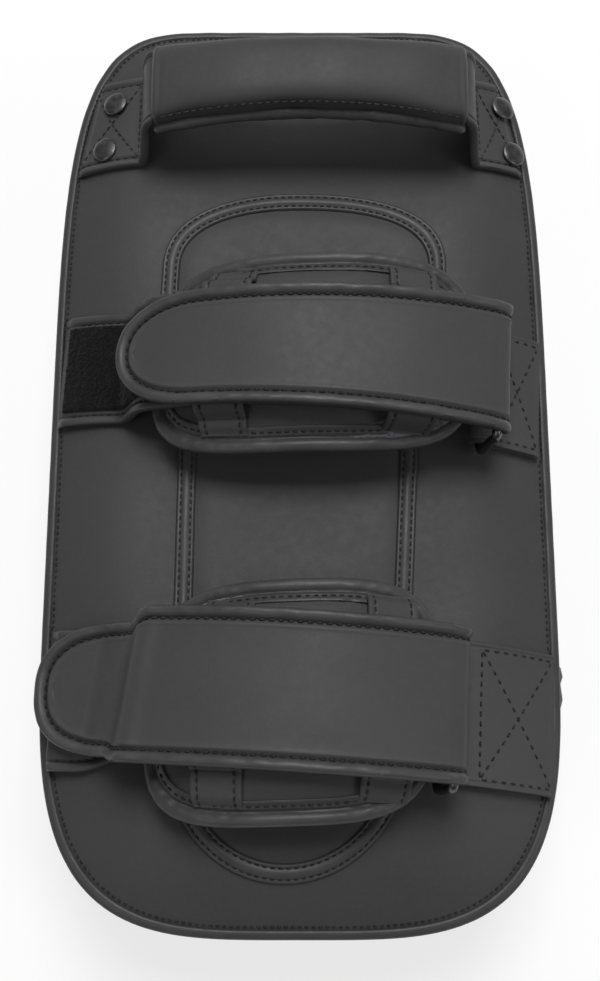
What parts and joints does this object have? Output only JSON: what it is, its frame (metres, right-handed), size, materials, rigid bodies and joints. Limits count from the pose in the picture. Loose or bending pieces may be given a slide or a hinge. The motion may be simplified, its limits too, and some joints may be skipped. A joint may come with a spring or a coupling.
{
  "type": "thai pad",
  "caption": "Foam-filled kick pad with rounded corners, a riveted padded grip and padded forearm straps that thread rings and fasten with hook and loop.",
  "frame": {"origin": "centre of the flat strike face, which lies down", "axes": "+X across the pad towards the rings, +Y along the pad towards the handle, +Z out of the back towards the straps"},
  "size_m": [0.207, 0.39, 0.1491],
  "materials": {
    "leather": "matte grained synthetic leather",
    "bound_edge": "matte folded leather tape",
    "lining": "smooth nylon lining",
    "pile": "soft looped pile",
    "hook": "fine hooks",
    "dense_foam": "closed-cell foam",
    "core_foam": "open-cell foam",
    "ring_wire": "dark lacquered wire",
    "rivet": "black satin cap",
    "washer": "plain steel"
  },
  "bodies": {
    "pad": {"strike_cover": "leather", "upper_side_wall": "leather", "lower_side_wall": "leather", "back_panel": "leather", "back_edge_binding": "bound_edge", "front_edge_binding": "bound_edge", "impact_foam": "dense_foam", "core_foam": "core_foam", "base_foam": "dense_foam", "centre_panel": "leather", "centre_panel_tape": "bound_edge", "handle_strap": "leather", "grip_cover": "leather", "grip_foam": "dense_foam", "handle_rivets": "rivet", "rivet_washers": "washer", "upper_base_strap": "leather", "upper_base_binding": "bound_edge", "upper_loop_fastener": "pile", "upper_ring_anchor": "leather", "lower_base_strap": "leather", "lower_base_binding": "bound_edge", "lower_loop_fastener": "pile", "lower_ring_anchor": "leather"},
    "upper_ring": {"upper_ring": "ring_wire"},
    "upper_flap": {"upper_flap": "leather", "upper_flap_binding": "bound_edge", "upper_hook_fastener": "hook"},
    "upper_cuff": {"upper_cuff_lining": "lining", "upper_cuff_foam": "dense_foam", "upper_cuff_cover": "leather", "upper_cuff_binding": "bound_edge", "upper_cuff_keepers": "leather"},
    "lower_ring": {"lower_ring": "ring_wire"},
    "lower_flap": {"lower_flap": "leather", "lower_flap_binding": "bound_edge", "lower_hook_fastener": "hook"},
    "lower_cuff": {"lower_cuff_lining": "lining", "lower_cuff_foam": "dense_foam", "lower_cuff_cover": "leather", "lower_cuff_binding": "bound_edge", "lower_cuff_keepers": "leather"}
  },
  "joints": [
    {"name": "upper_ring_swing", "type": "hinge", "parent": "pad", "child": "upper_ring", "pos_m": [0.07383, 0.02087, 0.10385], "axis": [0.0558, 0.9984, 0], "range_deg": [0, 12]},
    {"name": "upper_flap_peel", "type": "hinge", "parent": "upper_ring", "child": "upper_flap", "pos_m": [0.07782, 0.02065, 0.12566], "axis": [0.0558, 0.9984, 0], "range_deg": [0, 150]},
    {"name": "upper_cuff_slide", "type": "hinge", "parent": "pad", "child": "upper_cuff", "pos_m": [0.00899, 0.0245, -0.004], "axis": [0.0558, 0.9984, 0], "range_deg": [-1, 1]},
    {"name": "lower_ring_swing", "type": "hinge", "parent": "pad", "child": "lower_ring", "pos_m": [0.05324, -0.10998, 0.10638], "axis": [0.0558, 0.9984, 0], "range_deg": [0, 12]},
    {"name": "lower_flap_peel", "type": "hinge", "parent": "lower_ring", "child": "lower_flap", "pos_m": [0.05723, -0.1102, 0.12657], "axis": [0.0558, 0.9984, 0], "range_deg": [0, 150]},
    {"name": "lower_cuff_slide", "type": "hinge", "parent": "pad", "child": "lower_cuff", "pos_m": [0.002, -0.10711, 0.018], "axis": [0.0558, 0.9984, 0], "range_deg": [-1, 1]}
  ]
}
